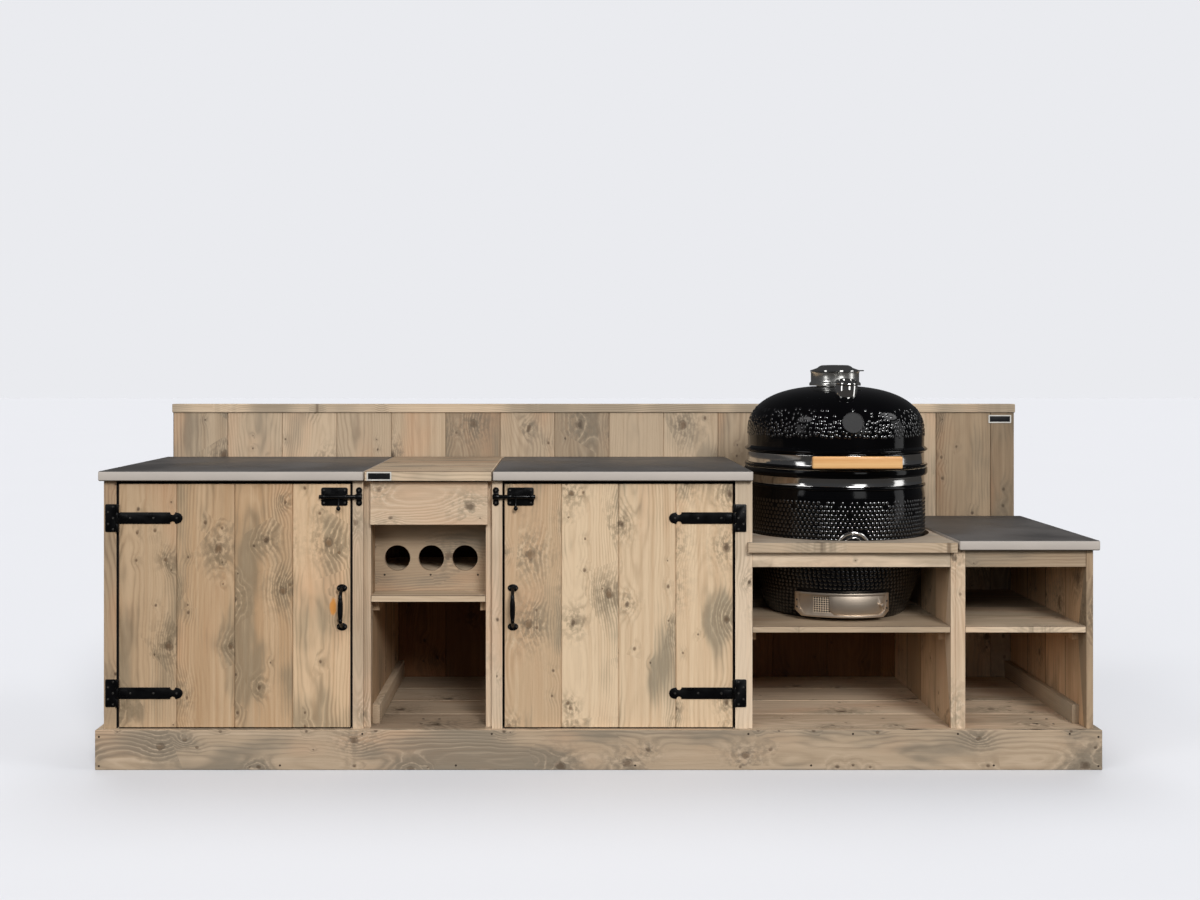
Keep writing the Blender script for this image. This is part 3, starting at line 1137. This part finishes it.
def build_draft_door(centre):
    """The lower draft door: a curved frame on the shell and a slide that runs in it."""
    seat = body_radius(DRAFT_TOP) + CLEARANCE
    slide_in = seat + DRAFT_WALL + CLEARANCE
    slide_out = slide_in + DRAFT_WALL
    outer = slide_out + CLEARANCE + DRAFT_WALL
    low, high = DRAFT_BOTTOM, DRAFT_TOP
    frame = ring_sector("draft_frame", (body_radius(low) - DRAFT_WALL, outer), (low, high),
                        -DRAFT_TURN, DRAFT_HALF_ANGLE, centre, "steel", 16)
    shell = belly_line(CLEARANCE)
    shell += [(GRILL_FOOT_RADIUS / 4, FOOT_CHAMFER), (GRILL_FOOT_RADIUS / 4, GRILL_BELLY)]
    cut(frame, add_piece("draft_seat", turned_mesh(shell, SEGMENTS, centre), None))
    trim_lower_corners(frame, outer, low, DRAFT_HALF_ANGLE, centre)
    run = DRAFT_HALF_ANGLE - DRAFT_END
    channel = ring_sector("draft_channel", (slide_in - CLEARANCE, slide_out + CLEARANCE),
                          (low + DRAFT_RAIL, high - DRAFT_RAIL), -DRAFT_TURN, run, centre, None, 16)
    trim_lower_corners(channel, slide_out, low + DRAFT_RAIL, run, centre)
    front = ring_sector("draft_front", (slide_out, outer + CUTTER_REACH),
                        (low + DRAFT_LIP, high - DRAFT_LIP), -DRAFT_TURN,
                        DRAFT_HALF_ANGLE - DRAFT_LIP_END, centre, None, 16)
    trim_lower_corners(front, outer, low + DRAFT_LIP, DRAFT_HALF_ANGLE - DRAFT_LIP_END, centre)
    opening = ring_sector("draft_opening", (GRILL_FOOT_RADIUS / 2, slide_in),
                          (low + DRAFT_OPENING_SILL, high - DRAFT_OPENING_HEAD), -DRAFT_TURN,
                          DRAFT_HALF_ANGLE - DRAFT_OPENING_SIDE, centre, None, 10)
    cut(frame, channel, front, opening)
    x, y, z = centre
    width = run - DRAFT_TRAVEL / 2 - DRAFT_SLIDE_PLAY
    middle = run - DRAFT_TURN - width - DRAFT_SLIDE_PLAY
    foot = low + DRAFT_RAIL + CLEARANCE
    slide = ring_sector("draft_slide", (slide_in, slide_out), (foot, high - DRAFT_RAIL - CLEARANCE),
                        middle, width, centre, "steel", 12, centre)
    cut(slide, lower_corner("slide_corner_right", slide_out, foot, middle + width, centre),
        lower_corner("slide_corner_left", slide_out, foot, middle - width - DRAFT_TRAVEL, centre,
                     DRAFT_TRAVEL))
    angle = math.radians(270 + middle + width - DRAFT_KNOB_SIDE)
    way = Vector((math.cos(angle), math.sin(angle), 0.0))
    at = Vector((x, y, z + (low + high) / 2)) + way * slide_out
    radius, length = DRAFT_KNOB
    join(slide, rod("slide_knob", at - way * DRAFT_WALL / 2, at + way * length, radius, segments=14))


def build_fire_parts(centre):
    """The firebox with its ring, the charcoal grate in it and the cooking grid on top."""
    x, y, z = centre
    floor = GRILL_FLOOR + CLEARANCE
    shell = GRILL_BODY_RADIUS - GRILL_WALL - FIREBOX_GAP
    waist = shell - FIREBOX_TAPER
    foot = GRILL_FOOT_RADIUS - GRILL_WALL - FIREBOX_FOOT_GAP
    ledge = GRATE_RADIUS - GRATE_LEDGE
    pocket = GRATE_RADIUS + GRATE_PLAY
    wall = FIREBOX_WALL
    profile = [(shell, FIREBOX_TOP), (shell, FIREBOX_SHOULDER), (waist, FIREBOX_WAIST), (foot, floor),
               (foot - wall, floor), (foot - wall, GRATE_SEAT - wall), (ledge, GRATE_SEAT - wall),
               (ledge, GRATE_SEAT), (pocket, GRATE_SEAT), (pocket, GRATE_SEAT + GRATE_POCKET),
               (waist - wall, FIREBOX_WAIST + GRATE_LEDGE), (shell - wall, FIREBOX_SHOULDER),
               (shell - wall, FIREBOX_TOP)]
    box = turned("firebox", profile, "firebrick", centre, 24)
    cut(box, ring_sector("firebox_window", (GRILL_FOOT_RADIUS / 3, GRILL_BODY_RADIUS),
                         (floor + FIREBOX_WINDOW_SILL, FIREBOX_WINDOW_HEAD), -DRAFT_TURN,
                         FIREBOX_WINDOW_ANGLE, centre, None, 6))
    plate = GRATE_SEAT + CLEARANCE
    top = plate + GRATE_THICKNESS
    grate = turned("charcoal_grate", [(0.0, top), (GRATE_RADIUS, top), (GRATE_RADIUS, plate),
                                      (0.0, plate)], "cast_iron", centre, 24)
    for i in range(GRATE_SLOTS):
        across = (i - (GRATE_SLOTS - 1) / 2) * GRATE_SLOT_PITCH
        reach = math.sqrt(GRATE_RADIUS ** 2 - across ** 2) - GRATE_RIM
        low, high = y + across - GRATE_SLOT_WIDTH / 2, y + across + GRATE_SLOT_WIDTH / 2
        cut(grate, block(f"grate_slot_{i}", (x - reach, low, z + plate - CUTTER_REACH),
                         (x + reach, high, z + top + CUTTER_REACH), None))
    build_cooking_grid(centre, shell - GRID_GAP, FIREBOX_TOP + CLEARANCE)


def build_cooking_grid(centre, radius, level):
    """A steel ring with parallel wires and one cross bar under them."""
    x, y, z = centre
    top = level + GRID_RING
    grid = turned("cooking_grid", [(radius, top), (radius, level), (radius - GRID_RING, level),
                                   (radius - GRID_RING, top)], "steel", centre, 32)
    middle = radius - GRID_RING / 2
    lift = (GRID_RING - GRID_WIRE) / 2
    low, high = z + level + lift, z + top - lift
    for i in range(GRID_BARS):
        across = (i - (GRID_BARS - 1) / 2) * GRID_PITCH
        reach = math.sqrt(middle ** 2 - across ** 2)
        join(grid, block(f"grid_bar_{i}", (x + across - GRID_WIRE / 2, y - reach, low),
                         (x + across + GRID_WIRE / 2, y + reach, high), None))
    join(grid, block("grid_cross_bar", (x - middle, y - GRID_CROSS_WIDTH / 2, z + level + CLEARANCE),
                     (x + middle, y + GRID_CROSS_WIDTH / 2, z + level + GRID_RING / 2), None))


def group_lid(centre):
    """Hang what opens with the lid on the hinge axis."""
    x, y, z = centre
    axis = pivot_empty("kamado_lid_axis", (x, y + HINGE_REACH, z + HINGE_RISE))
    attach(["kamado_lid", "upper_band", "lid_gasket", "chimney", "vent_cap", "thermometer",
            "hinge_arm", "handle_grip"], axis)


def main():
    clear_scene()
    build_plinth()
    build_floor()
    build_sides()
    build_splash()
    build_tops()
    build_aprons()
    build_shelves()
    build_bottle_rack()
    build_doors()
    centre = (GRILL_X, GRILL_Y, GRILL_Z)
    build_kamado(centre)
    group_lid(centre)
    bpy.context.view_layer.update()


main()
